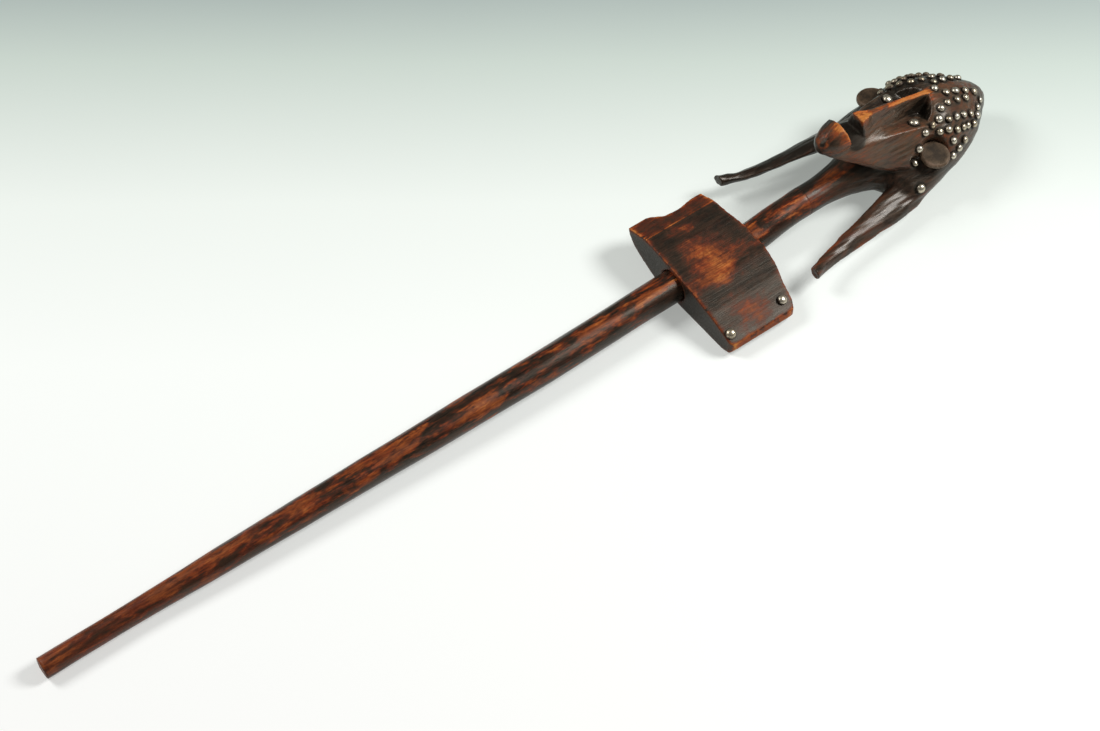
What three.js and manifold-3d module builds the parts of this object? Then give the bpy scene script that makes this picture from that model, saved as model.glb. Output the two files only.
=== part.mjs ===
// A carved wooden judicial wand: a tapered shaft, a cross block jammed on it,
// a horned mask head on its end, two ear pegs and rows of domed brass tacks.
// Millimetres, +Z up. The wand lies on its back: X runs from the butt (-X)
// to the crown of the head (+X), and the face looks up. The origin is under
// the middle of the wand, on the surface that it lies on.

import * as THREE from 'three';
import { mergeVertices } from 'three/addons/utils/BufferGeometryUtils.js';
import Module from 'manifold-3d';

const wasm = await Module();
wasm.setup();

// Overall sizes
const wandLength = 884;
const seamGap = 0.3;
const overrun = 4;

// Shaft
const buttDiameter = 17.4;
const gripDiameter = 17;
const shaftDiameter = 26.6;
const neckDiameter = 24.4;
const neckHeight = 25;
const shaftLift = 2.7;
const buttRounding = 2.5;
const tenonDiameter = 15;
const tenonLength = 62;
const shaftSides = 18;
const shaftSteps = 26;

// Cross block
const blockHornGap = 18.75;
const blockLength = 75;
const blockHeight = 37;
const blockNearReach = 74;
const blockFarReach = 58;
const shaftTopCover = 3;

// Head
const headLength = 194;
const headHalfWidth = 51;
const headHeight = 99;
const skullSides = 28;
const hornSides = 12;
const ringsPerRow = 2;

// Horns
const hornTipDiameter = 10.6;
const hornTipShares = { place: -0.192, reach: 1.176, height: 0.217 };
const hornRoll = THREE.MathUtils.degToRad(30);

// Ear pegs
const earDiameter = 25;
const earThickness = 5;
const earStemDiameter = 13;
const earStemLength = 16;
const earShares = { place: 0.5387, reach: 0.755, top: 0.485 };
const earTilt = THREE.MathUtils.degToRad(10);
const earSides = 20;

// Tacks: large ones on the block, eyes and horns, small ones on the crown
const tackDiameter = 9;
const crownTackDiameter = 7.2;
const tackRim = 0.5;
const tackShankDiameter = 1.8;
const tackShankLength = 8;
const tackPoint = 2;
const tackSides = 8;
const domeShare = 0.3;

// Finishes
const darkWood = new THREE.MeshStandardMaterial({ color: 0x3a241c, roughness: 0.35, metalness: 0 });
const wornWood = new THREE.MeshStandardMaterial({ color: 0x5c3220, roughness: 0.4, metalness: 0 });
const headWood = new THREE.MeshStandardMaterial({ color: 0x4a3029, roughness: 0.38, metalness: 0 });
const earWood = new THREE.MeshStandardMaterial({ color: 0x6b5a4e, roughness: 0.7, metalness: 0 });
const brass = new THREE.MeshStandardMaterial({ color: 0xcfc39a, roughness: 0.3, metalness: 1 });

// Closed solids and booleans

function toSolid(geometry) {
  const bare = geometry.clone();
  bare.deleteAttribute('normal');
  bare.deleteAttribute('uv');
  const merged = mergeVertices(bare, seamGap / 100);
  return new wasm.Manifold(new wasm.Mesh({
    numProp: 3,
    vertProperties: new Float32Array(merged.attributes.position.array),
    triVerts: new Uint32Array(merged.index.array),
  }));
}

function toGeometry(solid) {
  const mesh = solid.getMesh();
  const geometry = new THREE.BufferGeometry();
  geometry.setAttribute('position', new THREE.BufferAttribute(mesh.vertProperties, 3));
  geometry.setIndex(new THREE.BufferAttribute(mesh.triVerts, 1));
  geometry.computeVertexNormals();
  return geometry;
}

// A skin over a row of rings, closed at both ends
function loft(rings) {
  const count = rings[0].length;
  const points = rings.flat();
  const faces = [];
  for (let ring = 0; ring < rings.length - 1; ring += 1) {
    for (let i = 0; i < count; i += 1) {
      const next = (i + 1) % count;
      const a = ring * count + i;
      const b = ring * count + next;
      faces.push(a, b, b + count, a, b + count, a + count);
    }
  }
  const last = (rings.length - 1) * count;
  for (const [start, flip] of [[0, false], [last, true]]) {
    const middle = new THREE.Vector3();
    for (let i = 0; i < count; i += 1) middle.addScaledVector(points[start + i], 1 / count);
    const hub = points.push(middle) - 1;
    for (let i = 0; i < count; i += 1) {
      const next = (i + 1) % count;
      if (flip) faces.push(start + i, start + next, hub);
      else faces.push(start + next, start + i, hub);
    }
  }
  const geometry = new THREE.BufferGeometry().setFromPoints(points);
  geometry.setIndex(faces);
  return geometry;
}

// Rows of numbers blended into a smooth run of more rows
function smoothRows(rows, steps) {
  const columns = rows[0].map((_, column) => new THREE.SplineCurve(
    rows.map((row, index) => new THREE.Vector2(index, row[column]))));
  return Array.from({ length: steps + 1 }, (_, step) => columns.map(
    (curve) => curve.getPoint(step / steps).y));
}

const shaftDirection = new THREE.Vector3(1, 0, 0);

// A ring square to the shaft, higher above its widest line than below it
function ovalRing({ place, across = 0, widest, half, rise, drop, fullness = 2, roll = 0, sides }) {
  return Array.from({ length: sides }, (_, side) => {
    const turn = (side / sides) * 2 * Math.PI;
    const power = 2 / fullness;
    const sideways = Math.sign(Math.cos(turn)) * Math.abs(Math.cos(turn)) ** power;
    const upright = Math.sign(Math.sin(turn)) * Math.abs(Math.sin(turn)) ** power;
    const spot = new THREE.Vector3(0, half * sideways, upright * (upright > 0 ? rise : drop));
    return spot.applyAxisAngle(shaftDirection, roll).add(new THREE.Vector3(place, across, widest));
  });
}

// Shaft, as shares: place on the handle, swell from the grip's diameter to the shaft's, and bow
// to one side as a share of the shaft's diameter
const handleShares = [
  [0.12, 0, 0.04], [0.2, 0.14, 0.015], [0.29, 0.37, -0.015], [0.4, 0.56, -0.03], [0.51, 0.72, -0.05],
  [0.62, 0.88, -0.08], [0.78, 0.96, -0.09], [0.92, 0.98, -0.02], [1, 1, 0],
];
const buttBowShare = 0.018;
const neckClimbShare = 0.62;

const neckPlace = wandLength - headLength;
const blockEnd = neckPlace + hornTipShares.place * headLength - blockHornGap;
const blockPlace = blockEnd - blockLength;
const shaftRadius = shaftDiameter / 2;

// Rows of place, diameter, height and bow
function shaftRows() {
  const handle = handleShares.map(([place, swell, bow]) => {
    const diameter = gripDiameter + (shaftDiameter - gripDiameter) * swell;
    return [place * blockPlace, diameter, diameter / 2 + place * shaftLift, bow * shaftDiameter];
  });
  const exitHeight = blockTopAt(0) - shaftTopCover - shaftRadius;
  const climb = neckHeight - exitHeight;
  return [
    [buttRounding, buttDiameter, buttDiameter / 2, buttBowShare * shaftDiameter],
    ...handle,
    [(blockPlace + blockEnd) / 2, shaftDiameter, (shaftRadius + shaftLift + exitHeight) / 2, 0],
    [blockEnd, shaftDiameter, exitHeight, 0],
    [(blockEnd + neckPlace) / 2, (shaftDiameter + neckDiameter) / 2, exitHeight + neckClimbShare * climb, 0],
    [neckPlace - seamGap, neckDiameter, neckHeight, 0],
  ];
}

function roundRing(place, diameter, widest, across, clearance) {
  const radius = diameter / 2 + clearance;
  return ovalRing({ place, across, widest, half: radius, rise: radius, drop: radius, sides: shaftSides });
}

function shaftSolid(clearance) {
  const rings = smoothRows(shaftRows(), shaftSteps).map(([place, diameter, height, bow]) => roundRing(
    place, diameter, height, bow, clearance));
  rings.unshift(roundRing(
    0, buttDiameter - buttRounding, buttDiameter / 2, buttBowShare * shaftDiameter, 0));
  return toSolid(loft(rings)).add(tenonSolid(clearance));
}

// The tenon is let into the head, so it starts inside the shaft's end
function tenonSolid(clearance) {
  const ends = [neckPlace - overrun, neckPlace + tenonLength + clearance];
  return toSolid(loft(ends.map((place) => roundRing(place, tenonDiameter, neckHeight, 0, clearance))));
}

// Cross block: side view as shares of its reach and height, far side positive
const blockTopShares = [[1, 0.81], [0.62, 1], [0.3, 0.96], [0, 0.9], [-0.32, 0.82], [-0.6, 0.68],
  [-0.86, 0.49], [-0.98, 0.38]];
const blockUndersideShares = [[-1, 0.24], [-0.95, 0.08], [-0.84, 0], [-0.1, 0], [0.38, 0.07], [0.66, 0.27],
  [0.87, 0.46], [0.97, 0.66]];
// Plan view as shares of its length and reach
const blockPlanShares = [[0, 1.1], [0, -0.94], [0.05, -1], [0.76, -1], [0.84, -0.97], [0.875, -0.9],
  [0.91, -0.7], [0.97, -0.5], [1, -0.27], [0.99, 0.05], [0.94, 0.4], [0.9, 0.88], [0.78, 0.88],
  [0.58, 0.83], [0.4, 0.85], [0.28, 0.98], [0.17, 1.04]];

const blockReachAt = (share) => share * (share < 0 ? blockNearReach : blockFarReach);

function blockTopAt(reachShare) {
  const after = blockTopShares.findIndex(([share]) => share <= reachShare);
  const [nearShare, nearHeight] = blockTopShares[after];
  const [farShare, farHeight] = blockTopShares[after - 1];
  const along = (reachShare - nearShare) / (farShare - nearShare);
  return blockHeight * (nearHeight + (farHeight - nearHeight) * along);
}

function blockSolid() {
  const side = (shares) => shares.map(([reach, height]) => new THREE.Vector2(
    blockReachAt(reach), height * blockHeight));
  const profile = new THREE.Shape([...side(blockTopShares), ...side(blockUndersideShares)]);
  const bar = new THREE.ExtrudeGeometry(profile, { depth: blockLength + 2 * overrun, bevelEnabled: false });
  bar.applyMatrix4(new THREE.Matrix4().makeBasis(
    new THREE.Vector3(0, 1, 0), new THREE.Vector3(0, 0, 1), new THREE.Vector3(1, 0, 0)));
  bar.translate(blockPlace - overrun, 0, 0);
  const plan = new THREE.Shape(blockPlanShares.map(([along, reach]) => new THREE.Vector2(
    blockPlace + along * blockLength, blockReachAt(reach))));
  const cutter = new THREE.ExtrudeGeometry(plan, { depth: blockHeight + 2 * overrun, bevelEnabled: false });
  cutter.translate(0, 0, -overrun);
  return toSolid(bar).intersect(toSolid(cutter)).subtract(shaftSolid(seamGap));
}

// Head: every row below is in shares of the head's length, half width and height
const headX = (share) => neckPlace + share * headLength;

// Neck: place, half width, widest height, rise, drop, fullness. It starts as wide as the shaft
const neckWidthShare = neckDiameter / 2 / headHalfWidth;
const neckRiseShare = neckDiameter / 2 / headHeight;
const neckHeightShare = neckHeight / headHeight;
const neckShares = [[0, neckWidthShare, neckHeightShare, neckRiseShare, neckRiseShare, 2],
  [0.1, neckWidthShare, neckHeightShare, neckRiseShare, neckRiseShare, 2],
  [0.2, 0.3, 0.26, 0.15, 0.15, 2], [0.3, 0.42, 0.26, 0.2, 0.19, 2], [0.42, 0.62, 0.25, 0.22, 0.2, 2]];

// Skull under the face and between the horns: place, half width, widest height, rise, drop, fullness
const shoulderShares = [[0.32, 0.5, 0.22, 0.14, 0.1, 2], [0.36, 0.8, 0.21, 0.18, 0.14, 2],
  [0.4, 0.97, 0.207, 0.2, 0.17, 2], [0.48, 0.98, 0.22, 0.25, 0.21, 2.1], [0.56, 0.93, 0.25, 0.31, 0.24, 2.1],
  [0.65, 0.85, 0.27, 0.33, 0.25, 2]];

// Crown: place, half width, widest height, rise, drop, fullness
const crownShares = [[0.56, 0.86, 0.26, 0.42, 0.25, 2], [0.6, 0.885, 0.265, 0.455, 0.26, 2],
  [0.65, 0.865, 0.28, 0.455, 0.27, 2],
  [0.71, 0.8, 0.295, 0.41, 0.27, 2], [0.77, 0.715, 0.305, 0.355, 0.255, 2],
  [0.84, 0.575, 0.305, 0.29, 0.23, 2], [0.895, 0.43, 0.305, 0.22, 0.185, 2],
  [0.945, 0.28, 0.305, 0.15, 0.13, 2], [0.98, 0.15, 0.3, 0.085, 0.075, 2], [1, 0.04, 0.3, 0.02, 0.02, 2]];

// The closed skin over a table of rows like the three above
function rowSolid(rows) {
  const rings = smoothRows(rows, ringsPerRow * (rows.length - 1));
  return toSolid(loft(rings.map(([place, half, widest, rise, drop, fullness]) => ovalRing({
    place: headX(place), half: half * headHalfWidth, widest: widest * headHeight,
    rise: rise * headHeight, drop: drop * headHeight, fullness, sides: skullSides,
  }))));
}

// Face wedge: place, then half section points from the top middle down to the jaw's middle
const faceShares = [
  { place: 0.08, half: [[0, 0.82], [0.1, 0.815], [0.16, 0.8], [0.18, 0.775], [0.14, 0.75], [0, 0.745]] },
  { place: 0.13, half: [[0, 0.82], [0.16, 0.81], [0.22, 0.77], [0.235, 0.71], [0.17, 0.67], [0, 0.66]] },
  { place: 0.22, half: [[0, 0.82], [0.2, 0.8], [0.32, 0.745], [0.36, 0.6], [0.27, 0.54], [0, 0.52]] },
  { place: 0.33, half: [[0, 0.77], [0.2, 0.76], [0.35, 0.73], [0.53, 0.46], [0.45, 0.4], [0, 0.37]] },
  { place: 0.43, half: [[0, 0.71], [0.15, 0.7], [0.4, 0.718], [0.69, 0.43], [0.63, 0.36], [0, 0.3]] },
  { place: 0.51, half: [[0, 0.66], [0.12, 0.655], [0.45, 0.69], [0.77, 0.42], [0.7, 0.33], [0, 0.25]] },
  { place: 0.575, half: [[0, 0.61], [0.1, 0.605], [0.48, 0.655], [0.8, 0.41], [0.7, 0.31], [0, 0.25]] },
  { place: 0.66, half: [[0, 0.54], [0.1, 0.53], [0.45, 0.56], [0.77, 0.38], [0.66, 0.28], [0, 0.25]] },
];

function mirroredRing(place, half) {
  const near = half.map(([reach, height]) => [-reach, height]);
  const far = half.slice(1, -1).reverse().map(([reach, height]) => [reach, height]);
  return [...near, ...far].map(([reach, height]) => new THREE.Vector3(
    headX(place), reach * headHalfWidth, height * headHeight));
}

function faceSolid() {
  const flat = faceShares.map(({ place, half }) => [place, ...half.flat()]);
  const rings = smoothRows(flat, ringsPerRow * (flat.length - 1)).map(([place, ...numbers]) => {
    const half = [];
    for (let i = 0; i < numbers.length; i += 2) half.push([numbers[i], numbers[i + 1]]);
    return mirroredRing(place, half);
  });
  return toSolid(loft(rings));
}

// Nose rail: place, top height, top half width, foot height, foot half width
const noseShares = [[0.25, 0.945, 0.13, 0.78, 0.2], [0.27, 0.94, 0.12, 0.78, 0.2],
  [0.315, 0.915, 0.05, 0.77, 0.17], [0.46, 0.85, 0.042, 0.7, 0.13], [0.58, 0.785, 0.042, 0.56, 0.09],
  [0.655, 0.742, 0.042, 0.52, 0.08]];

function noseSolid() {
  const rings = noseShares.map(([place, top, topHalf, foot, footHalf]) => mirroredRing(
    place, [[0, top], [topHalf, top], [footHalf, foot], [0, foot]]));
  return toSolid(loft(rings));
}

// Chin: a thumb-shaped lump with a square back edge across the mouth
const chinMiddleShares = { place: 0.165, height: 0.868 };
const chinRadiusShares = { along: 0.128, across: 0.275, up: 0.13 };
const chinTilt = THREE.MathUtils.degToRad(-13);
const chinSegments = 16;

function chinSolid() {
  const ball = new THREE.SphereGeometry(1, chinSegments, chinSegments / 2);
  ball.rotateZ(Math.PI / 2);
  ball.scale(chinRadiusShares.along * headLength, chinRadiusShares.across * headHalfWidth,
    chinRadiusShares.up * headHeight);
  const half = new THREE.BoxGeometry(headLength, 2 * headHalfWidth, headHeight);
  half.translate(headLength / 2, 0, 0);
  const lump = toSolid(ball).subtract(toSolid(half));
  const placed = toGeometry(lump);
  placed.rotateY(chinTilt);
  placed.translate(headX(chinMiddleShares.place), 0, chinMiddleShares.height * headHeight);
  return toSolid(placed);
}

// Horns: place, reach, height, long and short half thickness, from root to tip
const hornTipRadius = hornTipDiameter / 2;
const hornRootShares = [[0.55, 0.58, 0.23, 0.28, 0.16], [0.45, 0.72, 0.21, 0.29, 0.16],
  [0.35, 0.81, 0.2, 0.27, 0.13], [0.235, 0.88, 0.198, 0.227, 0.105], [0.13, 0.93, 0.19, 0.185, 0.085],
  [0.02, 0.986, 0.183, 0.155, 0.077], [-0.11, 1.08, 0.187, 0.107, 0.08]];

function hornSolid(hand) {
  const rows = hornRootShares.map(([place, reach, height, long, short]) => [
    headX(place), reach * headHalfWidth, height * headHeight, long * headHalfWidth, short * headHalfWidth]);
  rows.push([headX(hornTipShares.place), hornTipShares.reach * headHalfWidth,
    hornTipShares.height * headHeight, hornTipRadius, hornTipRadius]);
  const smooth = smoothRows(rows, ringsPerRow * (rows.length - 1)).reverse();
  return toSolid(loft(smooth.map(([place, reach, height, long, short]) => ovalRing({
    place, across: hand * reach, widest: height, half: long, rise: short, drop: short,
    roll: -hand * hornRoll, sides: hornSides,
  }))));
}

// Brow: a leaning oval hollow that leaves the crown's front edge standing over the face
const browHollowShares = { place: 0.49, along: 0.098, across: 0.5 };
const browLean = THREE.MathUtils.degToRad(40);
const browHeightShare = 0.66;
const hollowSegments = 20;

function browHollow() {
  const drum = new THREE.CylinderGeometry(1, 1, headHeight, hollowSegments);
  drum.rotateX(Math.PI / 2);
  drum.scale(browHollowShares.along * headLength, browHollowShares.across * headHalfWidth, 1);
  drum.rotateY(browLean);
  drum.translate(headX(browHollowShares.place), 0, browHeightShare * headHeight);
  return toSolid(drum);
}

// Hollow in the cheek, low down in front of the ear peg
const cheekHollowShares = { place: 0.465, across: 0.7, height: 0.47 };
const cheekRadiusShares = { along: 0.05, across: 0.13, up: 0.08 };

function cheekHollow(hand) {
  const ball = new THREE.SphereGeometry(1, hollowSegments / 2, hollowSegments / 4);
  ball.scale(cheekRadiusShares.along * headLength, cheekRadiusShares.across * headHalfWidth,
    cheekRadiusShares.up * headHeight);
  ball.translate(headX(cheekHollowShares.place), hand * cheekHollowShares.across * headHalfWidth,
    cheekHollowShares.height * headHeight);
  return toSolid(ball);
}

// Mouth: the gap between the nose and the chin
const mouthShares = { place: 0.2, height: 0.9, along: 0.07, up: 0.2 };

function mouthGap() {
  const gap = new THREE.BoxGeometry(
    mouthShares.along * headLength, 2 * headHalfWidth, mouthShares.up * headHeight);
  gap.rotateY(chinTilt);
  gap.translate(headX(mouthShares.place), 0, mouthShares.height * headHeight);
  return toSolid(gap);
}

// Ear pegs: a round disc on a stem, lathed about the peg's own axis
const earAt = (hand) => new THREE.Vector3(
  headX(earShares.place), hand * earShares.reach * headHalfWidth, earShares.top * headHeight);

function placeEar(geometry, hand) {
  geometry.rotateX(Math.PI / 2);
  geometry.rotateX(-hand * earTilt);
  geometry.translate(...earAt(hand).toArray());
  return geometry;
}

function earGeometry(hand) {
  const radius = earDiameter / 2;
  const stem = earStemDiameter / 2;
  const round = earThickness / 4;
  return placeEar(new THREE.LatheGeometry([
    new THREE.Vector2(0, -earThickness - earStemLength),
    new THREE.Vector2(stem, -earThickness - earStemLength),
    new THREE.Vector2(stem, -earThickness),
    new THREE.Vector2(radius - round, -earThickness),
    new THREE.Vector2(radius, -earThickness + round),
    new THREE.Vector2(radius, -round),
    new THREE.Vector2(radius - round, 0),
    new THREE.Vector2(0, 0),
  ], earSides), hand);
}

function earSocket(hand) {
  const stem = earStemDiameter / 2 + seamGap;
  const disc = earDiameter / 2 + seamGap;
  const under = -earThickness - seamGap;
  return toSolid(placeEar(new THREE.LatheGeometry([
    new THREE.Vector2(0, under - earStemLength - seamGap),
    new THREE.Vector2(stem, under - earStemLength - seamGap),
    new THREE.Vector2(stem, under),
    new THREE.Vector2(disc, under),
    new THREE.Vector2(disc, headHeight),
    new THREE.Vector2(0, headHeight),
  ], earSides), hand));
}

// Tacks: a dome with a rim and a pointed shank, driven in along a surface's normal
const tackShankRadius = tackShankDiameter / 2;
const domeProfileShares = [[1, 0], [0.82, 0.57], [0.45, 0.9], [0, 1]];

function tackGeometry(diameter) {
  const dome = domeProfileShares.map(([reach, height]) => new THREE.Vector2(
    reach * diameter / 2, tackRim + height * domeShare * diameter));
  return new THREE.LatheGeometry([
    new THREE.Vector2(0, -tackShankLength),
    new THREE.Vector2(tackShankRadius, tackPoint - tackShankLength),
    new THREE.Vector2(tackShankRadius, 0),
    new THREE.Vector2(diameter / 2, 0),
    ...dome,
  ], tackSides);
}

function tackHole() {
  const radius = tackShankRadius + seamGap;
  return new THREE.LatheGeometry([
    new THREE.Vector2(0, -tackShankLength - 2 * seamGap),
    new THREE.Vector2(radius, -tackShankLength - 2 * seamGap),
    new THREE.Vector2(radius, overrun),
    new THREE.Vector2(0, overrun),
  ], tackSides);
}

function turnTo(geometry, { point, normal }) {
  const up = new THREE.Vector3(0, 1, 0);
  geometry.applyQuaternion(new THREE.Quaternion().setFromUnitVectors(up, normal));
  return geometry.translate(...point.clone().addScaledVector(normal, seamGap).toArray());
}

// The point of a solid straight below a place in plan, and which way its surface faces there
function seatsOn(solid, places) {
  const target = new THREE.Mesh(toGeometry(solid), new THREE.MeshBasicMaterial());
  const down = new THREE.Vector3(0, 0, -1);
  return places.map(([along, across]) => {
    const from = new THREE.Vector3(along, across, 2 * headHeight);
    const [hit] = new THREE.Raycaster(from, down).intersectObject(target);
    return { point: hit.point, normal: hit.face.normal.clone() };
  });
}

// Block tacks, as shares of the block's length and of its reach on the near side
const blockTackShares = [[0.07, -0.87], [0.77, -0.85]];
const blockTackPlaces = blockTackShares.map(([along, reach]) => [
  blockPlace + along * blockLength, blockReachAt(reach)]);

// Tacks on the head, as shares of its length and half width. The horn and cheek have one each,
// on the near side only; the eyes have one each
const eyeTackShares = [0.505, 0.315];
const hornTackShares = [0.432, 0.93];
const cheekTackShares = [0.478, 0.605];
const browTackShares = [0.69, 0];

// Rows of crown tacks on one side: start along and across, end along and across, count
const crownRowShares = [
  [0.722, 0.14, 0.885, 0.18, 4],
  [0.75, 0.3, 0.803, 0.29, 2],
  [0.645, 0.345, 0.613, 0.452, 2],
  [0.65, 0.525, 0.83, 0.51, 5],
  [0.567, 0.48, 0.524, 0.515, 2],
  [0.591, 0.585, 0.669, 0.665, 3],
  [0.712, 0.65, 0.785, 0.615, 2],
  [0.635, 0.745, 0.7, 0.755, 2],
  [0.62, 0.845, 0.66, 0.81, 2],
];

const headPlace = ([along, across], hand) => [headX(along), hand * across * headHalfWidth];

function crownPlaces(hand) {
  return crownRowShares.flatMap(([along, across, endAlong, endAcross, count]) => Array.from(
    { length: count }, (_, index) => {
      const share = index / (count - 1);
      return headPlace([along + (endAlong - along) * share, across + (endAcross - across) * share], hand);
    }));
}

const wand = new THREE.Group();

function addPiece(name, geometry, material) {
  const mesh = new THREE.Mesh(geometry, material);
  mesh.name = name;
  wand.add(mesh);
}

// Drives one tack at each seat and gives back the wood with the tacks' holes in it
function driveTacks(wood, seats, diameter, name) {
  seats.forEach((seat, index) => {
    addPiece(`${name}_${index + 1}`, turnTo(tackGeometry(diameter), seat), brass);
  });
  return seats.reduce((left, seat) => left.subtract(toSolid(turnTo(tackHole(), seat))), wood);
}

function buildHead() {
  let head = rowSolid(shoulderShares).add(rowSolid(neckShares));
  head = head.add(rowSolid(crownShares).subtract(browHollow()));
  head = head.add(faceSolid()).add(noseSolid()).add(chinSolid());
  head = head.subtract(mouthGap());
  for (const hand of [-1, 1]) {
    head = head.add(hornSolid(hand)).subtract(earSocket(hand)).subtract(cheekHollow(hand));
  }
  return head.subtract(tenonSolid(seamGap));
}

addPiece('shaft', toGeometry(shaftSolid(0)), wornWood);

const bareBlock = blockSolid();
const block = driveTacks(bareBlock, seatsOn(bareBlock, blockTackPlaces), tackDiameter, 'block_tack');
addPiece('cross_block', toGeometry(block), darkWood);

const bareHead = buildHead();
const bigPlaces = [
  headPlace(eyeTackShares, -1), headPlace(eyeTackShares, 1), headPlace(hornTackShares, -1)];
const smallPlaces = [
  headPlace(browTackShares, 1), headPlace(cheekTackShares, -1), ...crownPlaces(-1), ...crownPlaces(1)];
const tackedHead = driveTacks(bareHead, seatsOn(bareHead, bigPlaces), tackDiameter, 'face_tack');
const head = driveTacks(tackedHead, seatsOn(bareHead, smallPlaces), crownTackDiameter, 'crown_tack');
addPiece('head', toGeometry(head), headWood);
addPiece('left_ear', earGeometry(-1), earWood);
addPiece('right_ear', earGeometry(1), earWood);

const middle = new THREE.Box3().setFromObject(wand).getCenter(new THREE.Vector3());
wand.position.set(-middle.x, -middle.y, 0);

export default wand;
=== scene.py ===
# %% [markdown]
# A carved wooden wand, in cells that run from top to bottom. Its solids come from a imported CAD
# model, which is the fixed frame. Each step here takes one of those solids, gives it the
# softness, tool marks and wear of hand-carved wood, and leaves it exactly where the frame has it.
# The wand lies along X with its butt at -X and the mask at +X, and the mask looks up.

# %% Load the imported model
import math

import bmesh
import bpy
import numpy as np
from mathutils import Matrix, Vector, noise
from mathutils.bvhtree import BVHTree


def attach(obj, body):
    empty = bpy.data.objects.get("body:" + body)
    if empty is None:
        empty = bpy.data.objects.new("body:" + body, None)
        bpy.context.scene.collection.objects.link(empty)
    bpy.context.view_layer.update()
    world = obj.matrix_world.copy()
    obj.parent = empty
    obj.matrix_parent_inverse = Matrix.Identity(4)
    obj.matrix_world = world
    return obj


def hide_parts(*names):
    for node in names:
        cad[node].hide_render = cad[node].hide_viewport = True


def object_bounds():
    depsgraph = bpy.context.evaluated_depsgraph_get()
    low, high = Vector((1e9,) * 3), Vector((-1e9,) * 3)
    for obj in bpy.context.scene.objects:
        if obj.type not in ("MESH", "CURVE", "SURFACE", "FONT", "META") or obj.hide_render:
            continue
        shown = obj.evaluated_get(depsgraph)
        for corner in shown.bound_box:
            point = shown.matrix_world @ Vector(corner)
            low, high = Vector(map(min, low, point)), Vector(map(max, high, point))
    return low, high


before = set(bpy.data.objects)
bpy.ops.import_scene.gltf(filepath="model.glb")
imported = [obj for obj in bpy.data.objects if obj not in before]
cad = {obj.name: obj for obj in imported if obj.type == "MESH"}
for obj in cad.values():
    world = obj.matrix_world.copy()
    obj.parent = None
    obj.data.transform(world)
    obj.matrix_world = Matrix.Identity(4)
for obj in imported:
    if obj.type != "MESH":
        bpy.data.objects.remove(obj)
cad_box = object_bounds()
MM = 0.001
print("CAD box in mm:", [round(size / MM, 1) for size in cad_box[1] - cad_box[0]])

# %% [markdown]
# The camera stands above the near side of the butt and looks down along the wand. Its lens is
# worked out from the picture's width and from the focal length in pixels that fits the wand's
# length, so no shift is needed.

# %% Place the camera
PICTURE_WIDTH = 1100
FOCAL_PIXELS = 2200
CAMERA_PLACE = (-0.5949, -0.7934, 1.3656)
LOOK_DOWN = math.radians(53.8)
LOOK_ASIDE = math.radians(36.6)

lens = bpy.data.cameras.new("camera")
lens.sensor_width = 36
lens.lens = FOCAL_PIXELS / PICTURE_WIDTH * lens.sensor_width
camera = bpy.data.objects.new("camera", lens)
camera.location = CAMERA_PLACE
camera.rotation_euler = (math.pi / 2 - LOOK_DOWN, 0, -LOOK_ASIDE)
bpy.context.collection.objects.link(camera)
bpy.context.scene.camera = camera
print("Lens in mm:", round(lens.lens, 1))

# %% [markdown]
# Node trees are easier to read as sums than as lists of links. A Wire stands for a socket and
# answers to Python's own signs by adding Math nodes. A Bench adds every other kind of node with
# one method: the kind, its settings, and what goes into its sockets. Shaders and Geometry Nodes
# share both.


# %% Wires and the bench they are joined on
def socket_of(sockets, key):
    if isinstance(key, int):
        return sockets[key]
    return next(socket for socket in sockets if key in (socket.identifier, socket.name))


class Wire:
    def __init__(self, bench, socket):
        self.bench = bench
        self.socket = socket

    def math(self, operation, first, second=0.0):
        return self.bench.add("ShaderNodeMath", {"operation": operation}, {0: first, 1: second})

    def __add__(self, other):
        return self.math("ADD", self, other)

    def __sub__(self, other):
        return self.math("SUBTRACT", self, other)

    def __rsub__(self, other):
        return self.math("SUBTRACT", other, self)

    def __mul__(self, other):
        return self.math("MULTIPLY", self, other)

    def __rtruediv__(self, other):
        return self.math("DIVIDE", other, self)

    __radd__ = __add__
    __rmul__ = __mul__

    def sibling(self, key):
        return Wire(self.bench, socket_of(self.socket.node.outputs, key))


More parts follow.
